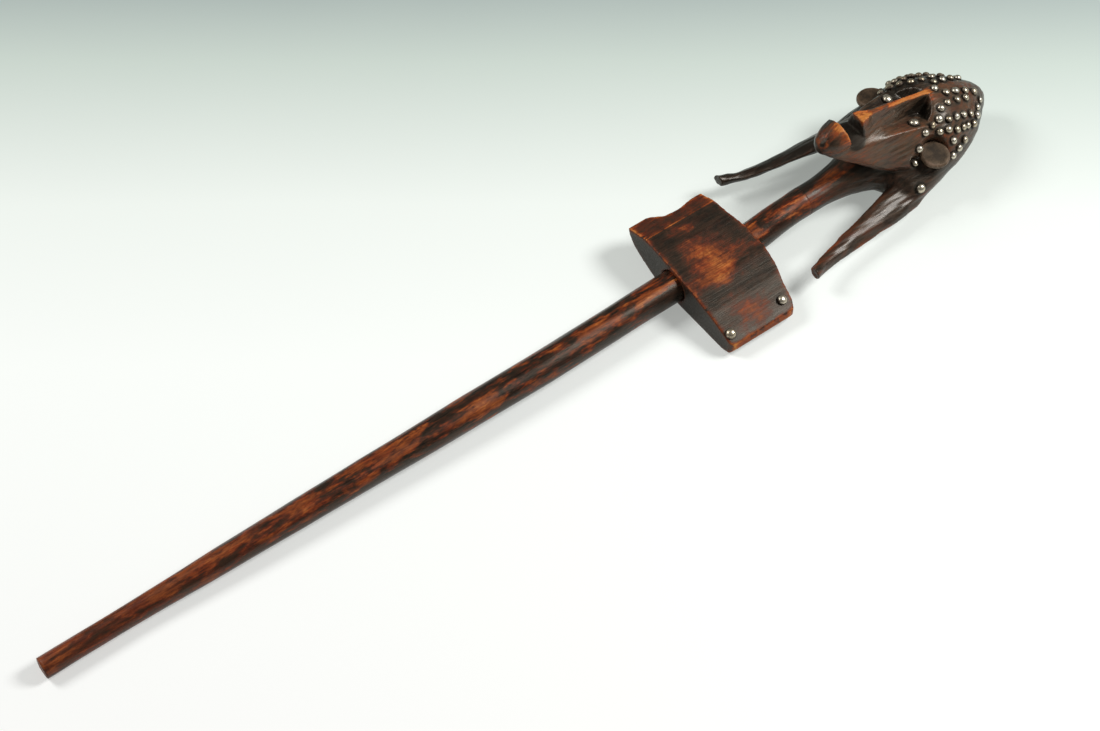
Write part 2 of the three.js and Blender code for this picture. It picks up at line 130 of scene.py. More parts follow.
class Bench:
    def __init__(self, tree):
        self.tree = tree
        tree.nodes.clear()

    def add(self, kind, settings=None, sockets=None, result=0):
        node = self.tree.nodes.new(kind)
        for name, value in (settings or {}).items():
            if name == "stops":
                self.set_stops(node.color_ramp, value)
            else:
                setattr(node, name, value)
        for key, value in (sockets or {}).items():
            socket = socket_of(node.inputs, key)
            if isinstance(value, Wire):
                self.tree.links.new(value.socket, socket)
            else:
                socket.default_value = value
        return Wire(self, socket_of(node.outputs, result)) if len(node.outputs) else node

    def set_stops(self, ramp, stops):
        while len(ramp.elements) < len(stops):
            ramp.elements.new(1)
        for element, (place, colour) in zip(ramp.elements, stops):
            element.position = place
            element.color = (*colour, 1)

    def noise(self, vector, scale=1, detail=4, roughness=0.55, distortion=0.0):
        return self.add("ShaderNodeTexNoise", {}, {
            "Vector": vector, "Scale": scale, "Detail": detail,
            "Roughness": roughness, "Distortion": distortion})

    def stretched(self, vector, scales):
        return self.add("ShaderNodeVectorMath", {"operation": "MULTIPLY"}, {0: vector, 1: scales})

    def step(self, value, low, high):
        return self.add("ShaderNodeMapRange", {"interpolation_type": "SMOOTHSTEP"}, {
            "Value": value, "From Min": low, "From Max": high})

    def ramp(self, value, stops):
        return self.add("ShaderNodeValToRGB", {"stops": stops}, {"Fac": value})

    def blend(self, share, first, second, way="MIX"):
        return self.add("ShaderNodeMix", {"data_type": "RGBA", "blend_type": way}, {
            "Factor_Float": share, "A_Color": first, "B_Color": second}, "Result_Color")

    def attribute(self, name):
        return self.add("ShaderNodeAttribute", {"attribute_name": name}, {}, "Fac")


print("The bench is ready")

# %% [markdown]
# The wand has one kind of wood under a dark patina of smoke, oil and handling. Where hands and
# knocks rub it away, red-brown and then orange wood shows. So each wood finish is one wear value
# from 0 to 1 that runs through five colours, from black to gold. The patina of the head is
# browner, so there an olive brown and a tan take the places of two of them. The fibres run
# along the wand, so their noise is stretched along X. Noise lies round 0.5, so 0.5 is taken off
# before it is weighed and added. What differs from piece to piece is where the wear falls.

# %% The shared wood finish
BLACK_PATINA = (0.013, 0.01, 0.007)
BROWN_PATINA = (0.038, 0.0185, 0.0105)
RED_WOOD = (0.1, 0.021, 0.0075)
ORANGE_WOOD = (0.265, 0.061, 0.011)
GOLD_WOOD = (0.5, 0.175, 0.036)
OLIVE_PATINA = (0.066, 0.042, 0.026)
TAN_WOOD = (0.118, 0.05, 0.024)
FIBRE_SHADOW = (0.4, 0.34, 0.32)
NO_SHADOW = (1.0, 1.0, 1.0)
RED_CAST = (1.0, 0.74, 0.72, 1)
WARM_GLOSS = (1.0, 0.88, 0.72, 1)
GRAIN_ROUGHNESS = 0.62
EVEN_WEAR = 0.06


def new_finish(name):
    material = bpy.data.materials.new(name)
    material.use_nodes = True
    bench = Bench(material.node_tree)
    place = bench.add("ShaderNodeTexCoord", result="Object")
    return material, bench, place


def close_finish(bench, constants, varying):
    shader = bench.add("ShaderNodeBsdfPrincipled", {}, {**constants, **varying})
    bench.add("ShaderNodeOutputMaterial", {}, {"Surface": shader})


class Wood:
    """The bench of one wood finish, with the grain every piece shares"""

    def __init__(self, name):
        self.material, self.bench, self.place = new_finish(name)
        self.fibre = self.grain((42, 900, 900), 3) * 0.65 + self.grain((210, 2600, 2600), 2) * 0.35
        self.streaks = self.grain((50, 500, 500), 5)
        self.facing = self.bench.add("ShaderNodeNewGeometry", result="Normal")

    def grain(self, scales, detail, distortion=0.0):
        stretched = self.bench.stretched(self.place, scales)
        return self.bench.noise(stretched, 1, detail, GRAIN_ROUGHNESS, distortion)

    def part(self, vector, axis):
        return self.bench.add("ShaderNodeSeparateXYZ", {}, {0: vector}, axis)

    def egg(self, middle, reach, fade, unevenness=0.0):
        """1 in an egg-shaped space and 0 outside; the fade is given in shares of its reach"""
        centred = self.bench.add("ShaderNodeMapping", {}, {
            "Location": tuple(-place / size for place, size in zip(middle, reach)),
            "Scale": tuple(1 / size for size in reach), "Vector": self.place})
        away = self.bench.add("ShaderNodeVectorMath", {"operation": "LENGTH"}, {0: centred}, "Value")
        return 1 - self.bench.step(away + unevenness, *fade)

    def worn_colour(self, wear, patina, wood):
        return self.bench.ramp(wear, [
            (0.0, BLACK_PATINA), (0.3, patina), (0.55, wood), (0.8, ORANGE_WOOD), (1.0, GOLD_WOOD)])

    def close(self, wear, gloss, relief, coat=0.1, olive=None):
        bench = self.bench
        colour = self.worn_colour(wear, BROWN_PATINA, RED_WOOD)
        if olive:
            colour = bench.blend(olive, colour, self.worn_colour(wear, OLIVE_PATINA, TAN_WOOD))
        shade = bench.ramp(self.fibre, [(0.4, FIBRE_SHADOW), (0.56, NO_SHADOW)])
        redder = bench.step(self.grain((40, 160, 160), 3), 0.46, 0.62)
        colour = bench.blend(redder * 0.8, colour, RED_CAST, "MULTIPLY")
        bump = bench.add("ShaderNodeBump", {}, {
            "Strength": 0.7, "Distance": relief, "Height": self.fibre * 0.35 + self.streaks * 0.65})
        close_finish(bench, {"IOR": 1.38, "Specular Tint": WARM_GLOSS, "Coat Roughness": 0.22}, {
            "Base Color": bench.blend(0.5, colour, shade, "MULTIPLY"),
            "Roughness": gloss + bench.step(wear, 0.1, 0.9) * 0.14 + (self.streaks - 0.5) * 0.3,
            "Coat Weight": coat - bench.step(wear, 0.2, 0.8) * coat * 0.8, "Normal": bump})
        return self.material


print("Wood colours are set")

# %% [markdown]
# Shaft finish. The grip end is rubbed nearly all over and is warm brown with dark specks. Further
# up, ragged flame-shaped patches of orange lie along the top, and the flanks stay black. Where
# the wood faces up, it is painted a little lighter and gets a few more patches, which is painted
# light. The ridges between the adze marks are worn as well; the shaft's own node tree stores
# them as an attribute named ridge. The rim of the butt is rubbed too. The neck of the head
# carries the same patches on, so they have their own function.

# %% Shaft finish
GRIP_START = -0.40
GRIP_END = -0.10
BUTT = float(cad_box[0][0])
BUTT_RIM = (BUTT, BUTT + 3.5 * MM)


def flame_wear(wood):
    bench = wood.bench
    flames = wood.grain((24, 100, 100), 8, 0.5)
    specks = wood.grain((95, 330, 330), 6)
    along = wood.part(wood.place, "X")
    grip = 1 - bench.step(along, GRIP_START, GRIP_END)
    # Faces that point up get more patches and a lighter colour: painted light
    top = bench.step(wood.part(wood.facing, "Z"), -0.2, 0.95)
    patches = bench.step(flames + (specks - 0.5) * 0.35 + top * 0.07 + grip * 0.03, 0.47, 0.66)
    worn = patches * (0.55 - grip * 0.3) + grip * 0.27 + top * 0.06
    worn = worn + (specks - 0.5) * (1.0 - grip * 0.35) + (wood.streaks - 0.5) * 0.3
    return worn + (wood.fibre - 0.5) * 0.15 + EVEN_WEAR


def shaft_finish():
    wood = Wood("rubbed_shaft_wood")
    rim = 1 - wood.bench.step(wood.part(wood.place, "X"), *BUTT_RIM)
    wear = flame_wear(wood) + wood.bench.attribute("ridge") * 0.14 + rim * 0.12
    return wood.close(wear, gloss=rim * 0.15 + 0.3, relief=0.4 * MM)


shaft_wood = shaft_finish()
print("Finish:", shaft_wood.name)

# %% [markdown]
# The shaft is a hand-adzed pole. It could be turned as one tube, but a real one is never even.
# Its rule is a line of rings with a thickness each, so Geometry Nodes build it: the rings are
# read from the frame's own solid, a smooth curve goes through them, a round profile runs along
# it, and long shallow scallops are cut between ridges, as an adze leaves them. The tenon inside
# the head is a second, shorter line.

# %% Measure the shaft's rings
SAME_STATION = 0.02 * MM


def unique_points(node):
    points = np.array([vertex.co for vertex in cad[node].data.vertices])
    return np.unique(points.round(6), axis=0)


def ring_at(points):
    low, high = points.min(0), points.max(0)
    return [*((low + high) / 2), (high[1] - low[1]) / 2]


def measured_rings(node):
    points = unique_points(node)
    stations = np.unique(points[:, 0].round(5))
    rings = [ring_at(points[abs(points[:, 0] - station) < SAME_STATION]) for station in stations]
    return [ring for ring in rings if ring[3] > MM]


*shaft_rings, tenon_end = measured_rings("shaft")
neck_ring = shaft_rings[-1]
print(len(shaft_rings), "rings up to X =", round(neck_ring[0] / MM, 1), "mm")


# %% Build trees from named inputs and run them
def new_tree(name, inputs):
    tree = bpy.data.node_groups.new(name, "GeometryNodeTree")
    tree.interface.new_socket("Geometry", in_out="INPUT", socket_type="NodeSocketGeometry")
    for label, kind in inputs.items():
        tree.interface.new_socket(label, in_out="INPUT", socket_type=kind)
    tree.interface.new_socket("Geometry", in_out="OUTPUT", socket_type="NodeSocketGeometry")
    bench = Bench(tree)
    entry = bench.add("NodeGroupInput")
    return tree, bench, {label: entry.sibling(label) for label in ("Geometry", *inputs)}


def close_tree(bench, geometry, material):
    whole = bench.add("GeometryNodeRealizeInstances", {}, {"Geometry": geometry})
    finished = bench.add("GeometryNodeSetMaterial", {}, {"Geometry": whole, "Material": material})
    bench.add("NodeGroupOutput", {}, {0: finished})


def grow(name, carrier_mesh, tree, values):
    piece = bpy.data.objects.new(name, carrier_mesh)
    modifier = piece.modifiers.new(tree.name, "NODES")
    modifier.node_group = tree
    for item in tree.interface.items_tree:
        if item.in_out == "INPUT" and item.name in values:
            modifier[item.identifier] = values[item.name]
    bpy.context.collection.objects.link(piece)
    return plain(piece)


def plain(piece):
    graph = bpy.context.evaluated_depsgraph_get()
    mesh = bpy.data.meshes.new_from_object(piece.evaluated_get(graph), depsgraph=graph)
    piece.modifiers.clear()
    piece.data = mesh
    mesh.name = piece.name
    return piece


print("Trees can be built and run")


# %% Read and write a mesh's points as an array
def points_of(mesh):
    points = np.empty(len(mesh.vertices) * 3)
    mesh.vertices.foreach_get("co", points)
    return points.reshape(-1, 3)


def put_points(mesh, points):
    mesh.vertices.foreach_set("co", points.ravel())
    mesh.update()


def keep_inside(mesh):
    """Nothing may reach past the frame's own box"""
    low, high = (np.array(corner) for corner in cad_box)
    put_points(mesh, np.clip(points_of(mesh), low, high))


print("Points can be read and written")

# %% The pole's tree
SCALLOP_MIDDLE = 0.75
RIDGE_RANGE = (0.55, 0.85)
END_FACE = 0.8


def pole_tree():
    tree, bench, given = new_tree("adzed_pole", {
        "Ring Spacing": "NodeSocketFloat", "Sides": "NodeSocketInt",
        "Scallop Depth": "NodeSocketFloat", "Scallop Length": "NodeSocketFloat",
        "Scallop Width": "NodeSocketFloat", "Wood": "NodeSocketMaterial"})
    line = bench.add("GeometryNodeMeshToCurve", {}, {0: given["Geometry"]})
    line = bench.add("GeometryNodeCurveSplineType", {"spline_type": "CATMULL_ROM"}, {"Curve": line})
    line = bench.add("GeometryNodeResampleCurve", {"mode": "LENGTH"}, {
        "Curve": line, "Length": given["Ring Spacing"]})
    thickness = bench.add("GeometryNodeInputNamedAttribute", {}, {"Name": "thickness"})
    circle = bench.add("GeometryNodeCurvePrimitiveCircle", {}, {
        "Resolution": given["Sides"], "Radius": 1})
    pole = bench.add("GeometryNodeCurveToMesh", {}, {
        "Curve": line, "Profile Curve": circle, "Scale": thickness, "Fill Caps": True})
    place = bench.add("GeometryNodeInputPosition")
    along, across = 1 / given["Scallop Length"], 1 / given["Scallop Width"]
    grid = bench.add("ShaderNodeCombineXYZ", {}, {0: along, 1: across, 2: across})
    cuts = bench.add("ShaderNodeTexVoronoi", {"feature": "SMOOTH_F1"}, {
        "Vector": bench.stretched(place, grid), "Scale": 1, "Smoothness": 0.25})
    facing = bench.add("GeometryNodeInputNormal")
    depth = (cuts - SCALLOP_MIDDLE) * given["Scallop Depth"]
    shift = bench.add("ShaderNodeVectorMath", {"operation": "SCALE"}, {0: facing, "Scale": depth})
    pole = bench.add("GeometryNodeSetPosition", {}, {"Geometry": pole, "Offset": shift})
    pole = bench.add("GeometryNodeStoreNamedAttribute", {"data_type": "FLOAT", "domain": "POINT"}, {
        "Geometry": pole, "Name": "ridge", "Value": bench.step(cuts, *RIDGE_RANGE)})
    endwise = bench.add("ShaderNodeSeparateXYZ", {}, {0: facing}, "X")
    flank = bench.add("FunctionNodeCompare", {"operation": "LESS_THAN"}, {
        "A": endwise.math("ABSOLUTE", endwise), "B": END_FACE})
    pole = bench.add("GeometryNodeSetShadeSmooth", {}, {"Geometry": pole, "Selection": flank})
    close_tree(bench, pole, given["Wood"])
    return tree


pole = pole_tree()
print("Pole tree:", len(pole.nodes), "nodes")

# %% Grow the shaft
FEATHER_LENGTH = 4 * MM
FEATHER_DROP = 1.6 * MM


def line_mesh(name, lines):
    mesh = bpy.data.meshes.new(name)
    points = [ring[:3] for line in lines for ring in line]
    starts = np.cumsum([0, *map(len, lines)])
    joins = [(i, i + 1) for start, end in zip(starts, starts[1:]) for i in range(start, end - 1)]
    mesh.from_pydata(points, joins, [])
    thickness = mesh.attributes.new("thickness", "FLOAT", "POINT")
    thickness.data.foreach_set("value", [ring[3] for line in lines for ring in line])
    return mesh


def feathered(rings, length, drop):
    """The rings, with a thin end that runs on under the neck of the head"""
    before, last = np.array(rings[-2:])
    end = last + (last - before) * length / (last[0] - before[0])
    return [*rings[:-1], [*last[:3], last[3] + drop / 4], [*end[:3], last[3] - drop]]


tenon_start = [*neck_ring[:3], tenon_end[3]]
pole_lines = [feathered(shaft_rings, FEATHER_LENGTH, FEATHER_DROP), [tenon_start, tenon_end]]
shaft = grow("shaft_piece", line_mesh("shaft_line", pole_lines), pole, {
    "Ring Spacing": 1.8 * MM, "Sides": 48, "Scallop Depth": 0.9 * MM,
    "Scallop Length": 70 * MM, "Scallop Width": 11 * MM, "Wood": shaft_wood})
keep_inside(shaft.data)
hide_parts("shaft")
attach(shaft, "root")
print("Shaft:", len(shaft.data.polygons), "faces")

# %% [markdown]
# The block, the head and the ears are carved, so they have no rule. A copy of the frame's solid
# is turned into an even skin of small squares, which a carver's surface can be worked on. Then
# the flats of the CAD solid are planed away: each face takes the direction of its neighbours
# where these nearly agree, and the points follow, so that edges a carver would leave stay crisp.


# %% Keep a skin's largest body
def drop_specks(mesh):
    """A narrow gap can leave a speck of skin of its own, which isn't wanted"""
    work = bmesh.new()
    work.from_mesh(mesh)
    left, bodies = set(work.verts), []
    while left:
        front = [left.pop()]
        body = set(front)
        while front:
            vertex = front.pop()
            fresh = {edge.other_vert(vertex) for edge in vertex.link_edges} - body
            body |= fresh
            front += fresh
        left -= body
        bodies.append(body)
    bodies.sort(key=len)
    specks = [vertex for body in bodies[:-1] for vertex in body]
    bmesh.ops.delete(work, geom=specks, context="VERTS")
    work.to_mesh(mesh)
    work.free()


print("Specks can be dropped")

# %% Copy a solid as an even skin
MERGE_DISTANCE = MM / 1000


def even_skin(name, node, square, fillers=()):
    mesh = cad[node].data.copy()
    work = bmesh.new()
    for part in (mesh, *fillers):
        work.from_mesh(part)
    bmesh.ops.remove_doubles(work, verts=work.verts, dist=MERGE_DISTANCE)
    work.to_mesh(mesh)
    work.free()
    mesh.materials.clear()
    piece = bpy.data.objects.new(name, mesh)
    bpy.context.collection.objects.link(piece)
    skin = piece.modifiers.new("skin", "REMESH")
    skin.mode = "VOXEL"
    skin.voxel_size = square
    plain(piece)
    drop_specks(piece.data)
    return piece


print("Solids can be copied as skins")

# %% Plane the flats away
TINY = 1e-12


def gathered(owners, values, count):
    return np.stack([np.bincount(owners, column, count) for column in values.T], 1)


def unit(vectors):
    return vectors / np.maximum(np.linalg.norm(vectors, axis=1, keepdims=True), TINY)


class Skin:
    """The corners, faces and face pairs of a mesh, as arrays"""

    def __init__(self, mesh):
        self.count = len(mesh.polygons)
        totals = np.empty(self.count, int)
        mesh.polygons.foreach_get("loop_total", totals)
        self.corner_point = np.empty(len(mesh.loops), int)
        mesh.loops.foreach_get("vertex_index", self.corner_point)
        self.corner_face = np.repeat(np.arange(self.count), totals)
        firsts = np.cumsum(totals) - totals
        self.corner_next = np.arange(len(self.corner_point)) + 1
        self.corner_next[firsts + totals - 1] = firsts
        self.sides = totals[:, None]
        edges = np.empty(len(mesh.loops), int)
        mesh.loops.foreach_get("edge_index", edges)
        order = np.argsort(edges, kind="stable")
        twice = np.flatnonzero(edges[order][1:] == edges[order][:-1])
        self.pairs = self.corner_face[order][twice], self.corner_face[order][twice + 1]
        self.per_point = np.bincount(self.corner_point, minlength=len(mesh.vertices))[:, None]

    def facing(self, points):
        corners = points[self.corner_point]
        areas = np.cross(corners, corners[self.corner_next])
        return unit(gathered(self.corner_face, areas, self.count))

    def middles(self, points):
        return gathered(self.corner_face, points[self.corner_point], self.count) / self.sides


def plane_flats(mesh, crease, turns, moves):
    skin = Skin(mesh)
    points = points_of(mesh)
    facing = skin.facing(points)
    first, second = skin.pairs
    least = math.cos(crease)
    for _ in range(turns):
        likeness = np.maximum((facing[first] * facing[second]).sum(1) - least, 0)[:, None] ** 2
        pull = gathered(first, likeness * facing[second], skin.count)
        pull += gathered(second, likeness * facing[first], skin.count)
        facing = unit(facing * (1 - least) ** 2 + pull)
    for _ in range(moves):
        gaps = skin.middles(points)[skin.corner_face] - points[skin.corner_point]
        aim = facing[skin.corner_face]
        steps = aim * (aim * gaps).sum(1)[:, None]
        points = points + gathered(skin.corner_point, steps, len(points)) / skin.per_point
    put_points(mesh, points)


print("Flats can be planed")

# %% [markdown]
# Wear follows form. Ridges that stand proud get rubbed, and hollows are painted darker as shade.
# Both can be measured. For the ridges, the skin is relaxed for some rounds, and a point that stood
# outside the relaxed skin is on a ridge. For the painted shade, rays go out from each point, and
# the more of them meet the piece again within reach, the darker it is painted. The amounts are
# stored on the points, and the finishes read them. Pointiness could do the first in a shader, but
# it depends on the mesh's density and doesn't reach as far.

# %% Measure ridges and hollows
# How many rounds the skin is relaxed, and the height that counts as a full ridge
CRISP_RIDGES = (12, 0.6 * MM)
BROAD_RIDGES = (90, 2.2 * MM)
CRISP_SHARE = 0.35
KEPT_SHARE = 0.4
BLUR_ROUNDS = 3
RAY_START = 0.5 * MM


def relaxed(values, edges, rounds):
    first, second = edges.T
    count = len(values)
    degree = np.bincount(edges.ravel(), minlength=count)[:, None]
    for _ in range(rounds):
        sums = gathered(first, values[second], count) + gathered(second, values[first], count)
        values = values * KEPT_SHARE + sums / degree * (1 - KEPT_SHARE)
    return values


def edges_of(mesh):
    edges = np.empty(len(mesh.edges) * 2, int)
    mesh.edges.foreach_get("vertices", edges)
    return edges.reshape(-1, 2)


def facings_of(mesh):
    facing = np.empty(len(mesh.vertices) * 3)
    mesh.vertices.foreach_get("normal", facing)
    return facing.reshape(-1, 3)


def store(mesh, name, values):
    layer = mesh.attributes.get(name) or mesh.attributes.new(name, "FLOAT", "POINT")
    layer.data.foreach_set("value", np.ascontiguousarray(values, np.float32))


def store_blurred(mesh, name, values):
    store(mesh, name, relaxed(values[:, None], edges_of(mesh), BLUR_ROUNDS)[:, 0])


def standing_out(mesh, rounds, full):
    points = points_of(mesh)
    lift = ((points - relaxed(points, edges_of(mesh), rounds)) * facings_of(mesh)).sum(1)
    return np.clip(lift / full, 0, 1)


def measure_ridges(mesh):
    crisp = standing_out(mesh, *CRISP_RIDGES)
    broad = standing_out(mesh, *BROAD_RIDGES)
    store_blurred(mesh, "ridge", crisp * CRISP_SHARE + broad * (1 - CRISP_SHARE))


def soften(mesh, rounds, share=1.0):
    points = points_of(mesh)
    put_points(mesh, points + (relaxed(points, edges_of(mesh), rounds) - points) * share)


def spread_directions(count):
    places = np.arange(count) + 0.5
    heights = 1 - 2 * places / count
    turns = places * math.pi * (1 + math.sqrt(5))
    reach = np.sqrt(1 - heights ** 2)
    return np.stack([np.cos(turns) * reach, np.sin(turns) * reach, heights], 1)


# The share of rays that meet the piece again is stored; the finishes paint hollows darker with it,
# as painted shade
def measure_hollow_shade(mesh, reach, rays):
    tree = BVHTree.FromPolygons(
        [vertex.co for vertex in mesh.vertices], [list(face.vertices) for face in mesh.polygons])
    met = np.zeros(len(mesh.vertices))
    directions = [Vector(direction) for direction in spread_directions(rays)]
    for index, vertex in enumerate(mesh.vertices):
        start = vertex.co + vertex.normal * RAY_START
        for direction in directions:
            steep = direction.dot(vertex.normal)
            outward = direction if steep > 0 else -direction
            if tree.ray_cast(start, outward, reach)[0]:
                met[index] += abs(steep)
    store_blurred(mesh, "soot", met / (rays / 2))
    return tree


def tool_marks(mesh, depth, length, width, seed, share=1.0):
    facing = facings_of(mesh)
    points = points_of(mesh)
    grid = points / np.array([length, width, width]) + seed
    heights = np.array([noise.noise(Vector(spot)) for spot in grid])
    put_points(mesh, points + facing * (heights * depth * share)[:, None])


def shade_smooth(piece):
    piece.data.polygons.foreach_set("use_smooth", [True] * len(piece.data.polygons))


print("Wear can be measured")

# %% [markdown]
# The cross block is one crowned board, jammed on the shaft. Its top is rubbed through to orange
# in cloudy patches round the middle, where hands hold it, and along its edges. Its cut ends and
# flanks stay nearly black. The fibres run the same way as the shaft's.

# %% Block finish
# Worn spots on top, as a place in plan and how far each reaches; they go through the whole height
BLOCK_SPOTS = [((0.151, 0.0, 0.0), (0.028, 0.032, math.inf)),
               ((0.15, -0.053, 0.0), (0.026, 0.018, math.inf))]
SPOT_FADE = (0.2, 1.3)
FAR_FACET = (0.0403, 0.0418)
CREASE_WIDTH = 0.9 * MM
NEAR_RIM = (0.0655, 0.0685)


def block_finish():
    wood = Wood("rubbed_block_wood")
    bench = wood.bench
    clouds = wood.grain((30, 42, 42), 6, 0.6)
    patches = wood.grain((130, 190, 190), 7, 0.4)
    across = wood.part(wood.place, "Y")
    top = bench.step(wood.part(wood.facing, "Z"), 0.55, 0.9)
    front = bench.step(0 - wood.part(wood.facing, "X"), 0.5, 0.9)
    facet = bench.step(across, *FAR_FACET)
    off_crease = (across - FAR_FACET[0]) * (1 / CREASE_WIDTH)
    crease = 1 - bench.step(off_crease.math("ABSOLUTE", off_crease), 0.2, 1.0)
    middle, near = (wood.egg(*spot, SPOT_FADE, (clouds - 0.5) * 2.6) for spot in BLOCK_SPOTS)
    worn = middle * 0.84 + near * 0.58 + facet * 0.34 + (clouds - 0.5) * 0.34 + (patches - 0.5) * 0.9
    near_rim = bench.step(0 - across, *NEAR_RIM)
    rubbed_edge = bench.attribute("ridge") + crease * top * 0.6 + near_rim * 0.6
    rubbed_edge = rubbed_edge * bench.step(patches, 0.25, 0.5)
    wear = worn * top + rubbed_edge * 0.75 + (wood.streaks - 0.5) * 0.4
    wear = wear + (wood.fibre - 0.5) * 0.2 + EVEN_WEAR
    # Hollows and the shaft's entry are painted darker here, as painted shade
    wear = wear - bench.attribute("soot") * 0.5 - front * 0.15 - bench.attribute("grime") * 0.2
    return wood.close(wear, gloss=0.43, relief=0.5 * MM, coat=0.04)


block_wood = block_finish()
print("Finish:", block_wood.name)

# %% Carve the block
block = even_skin("block_piece", "cross_block", 0.9 * MM)
plane_flats(block.data, crease=math.radians(13), turns=8, moves=20)
soften(block.data, rounds=1)
tool_marks(block.data, depth=0.2 * MM, length=50 * MM, width=16 * MM, seed=3)
measure_ridges(block.data)
measure_hollow_shade(block.data, reach=14 * MM, rays=12)
keep_inside(block.data)
shade_smooth(block)
block.data.materials.append(block_wood)
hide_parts("cross_block")
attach(block, "root")
print("Block:", len(block.data.polygons), "faces")

# %% [markdown]
# The head has a browner patina than the shaft, with a soft gloss and drawn-out streaks. The
# narrow top of the nose rail is rubbed to orange and the chin has a worn patch. The mouth, the
# hollows, the steep walls by the nose rail and the far side are painted darker as shade, and the
# mouth is matt as well. The wood round the tacks keeps a matt grime. Painted masks would do, but
# they need an unwrapped surface. Here each mask is a range along an axis or an egg-shaped space,
# so a few sizes say where it lies. Round the neck the finish goes over into the shaft's, so that
# the seam hardly shows.

# %% Masks of the head
HEAD_MIDDLE = 4.35 * MM
# Places along the wand between which a mask comes or goes
NECK_FADE = (0.255, 0.28)
RAIL_FLARE = (0.297, 0.312)
RAIL_FADE = (0.378, 0.386)
WALL_START = (0.3, 0.31)
# The same in distance from the head's middle
WALL_HALF_WIDTH = (0.007, 0.012)
NECK_HALF_WIDTH = (0.014, 0.02)
# The same across the wand and in height
FAR_SIDE = (0.0065, 0.011)
UNDERSIDE = (0.04, 0.055)
# The rail's worn top: its half width, what its tip adds, and how far it lies to the near side
RAIL_HALF_WIDTH = 1.9 * MM
RAIL_TIP_EXTRA = 4.2 * MM
RAIL_SHIFT = 0.6 * MM
RAIL_BLUR = 0.6 * MM
# Egg-shaped spaces, as a middle and a reach each
MOUTH_SHADE = ((0.289, 0.003, 0.08), (0.0115, 0.0175, 0.0135))
CHIN_PATCH = ((0.276, -0.003, 0.096), (0.009, 0.012, 0.014))
EGG_FADE = (0.7, 1.1)


def rail_mask(wood):
    """The narrow top of the nose rail, which widens at its tip"""
    bench = wood.bench
    along = wood.part(wood.place, "X")
    across = wood.part(wood.place, "Y") - HEAD_MIDDLE
    half = RAIL_HALF_WIDTH + (1 - bench.step(along, *RAIL_FLARE)) * RAIL_TIP_EXTRA
    outside = across.math("ABSOLUTE", across + RAIL_SHIFT) - half
    return (1 - bench.step(outside, -RAIL_BLUR, RAIL_BLUR)) * (1 - bench.step(along, *RAIL_FADE))


print("The head's masks can be made")


# %% Head finish
def head_finish():
    wood = Wood("rubbed_head_wood")
    bench = wood.bench
    clouds = wood.grain((30, 70, 70), 6, 0.6)
    slivers = wood.grain((60, 420, 420), 6, 0.3)
    specks = wood.grain((160, 420, 420), 4)
    along = wood.part(wood.place, "X")
    # The far side of the head is painted darker, as painted shade
    far_side_shade = bench.step(wood.part(wood.place, "Y"), *FAR_SIDE)
    ridge = bench.attribute("ridge") * bench.step(clouds, 0.35, 0.55) * 0.5
    upward = bench.step(wood.part(wood.facing, "Z"), 0.2, 0.6)
    middle = wood.part(wood.place, "Y") - HEAD_MIDDLE
    middle = middle.math("ABSOLUTE", middle)
    # Steep walls by the nose rail and the brow are painted darker, as painted shade
    wall_shade = (1 - bench.step(middle, *WALL_HALF_WIDTH)) * (1 - upward) * bench.step(along, *WALL_START)
    rail = rail_mask(wood) * upward * bench.step(slivers, 0.2, 0.48)
    chin = wood.egg(*CHIN_PATCH, EGG_FADE, (clouds - 0.5) * 1.2)
    # The mouth is painted dark, as painted shade, and made matt
    mouth_shade = wood.egg(*MOUTH_SHADE, EGG_FADE)
    grime = bench.attribute("grime")
    # Hollows are painted darker, as painted shade
    shadowed = bench.step(bench.attribute("soot"), 0.2, 0.6)
    under = 1 - bench.step(wood.part(wood.place, "Z"), *UNDERSIDE)
    wear = (clouds - 0.5) * 0.5 + (slivers - 0.5) * 0.8 + (wood.streaks - 0.5) * 0.5 + 0.37
    wear = wear + ridge + rail * (specks - 0.1) + chin * 0.2 - wall_shade * 0.16
    wear = wear - shadowed * 0.6 - far_side_shade * 0.4 - under * 0.22
    carried_on = (1 - bench.step(along, *NECK_FADE)) * (1 - bench.step(middle, *NECK_HALF_WIDTH))
    wear = wear * (1 - carried_on) + (flame_wear(wood) - EVEN_WEAR) * carried_on
    matt = mouth_shade.math("MAXIMUM", mouth_shade, grime)
    wear = wear - grime * 0.45 - mouth_shade * 0.9
    coat = (1 - matt) * (0.2 - carried_on * 0.1)
    gloss = matt * 0.35 + under * 0.06 + 0.32
    olive = (1 - carried_on) * (1 - under * 0.7)
    return wood.close(wear, gloss, relief=0.7 * MM, coat=coat, olive=olive)


head_wood = head_finish()
print("Finish:", head_wood.name)

# %% [markdown]
# On the real head the crown flows down to the ears' discs, and neck and horns grow out of it.
# Sculpting could do that by hand. Here it is worked out from the pieces themselves: a sloping
# part ring is laid on the crown's side of each ear before the skin is made, and the neck's first
# stretch takes over the shaft's own outline. Fine lengthwise marks go on the horns alone.

# %% Fill the wood in above the ears
EAR_LEAN = math.radians(10)
COLLAR_STEPS = 20
COLLAR_HALF_TURN = math.radians(68)
COLLAR_GAP = 0.5 * MM
COLLAR_WIDTH = 8 * MM
COLLAR_RISE = 8 * MM
COLLAR_DEPTH = 7 * MM
ear_discs = {}


def measure_disc(node, side):
    axis = np.array([0, side * math.sin(EAR_LEAN), math.cos(EAR_LEAN)])
    points = unique_points(node)
    heights = points @ axis
    centre = points[heights > heights.max() - MM / 10].mean(0)
    spokes = points - centre
    reach = np.linalg.norm(spokes - np.outer(spokes @ axis, axis), axis=1).max()
    ear_discs[node] = centre, axis, reach
    return ear_discs[node]


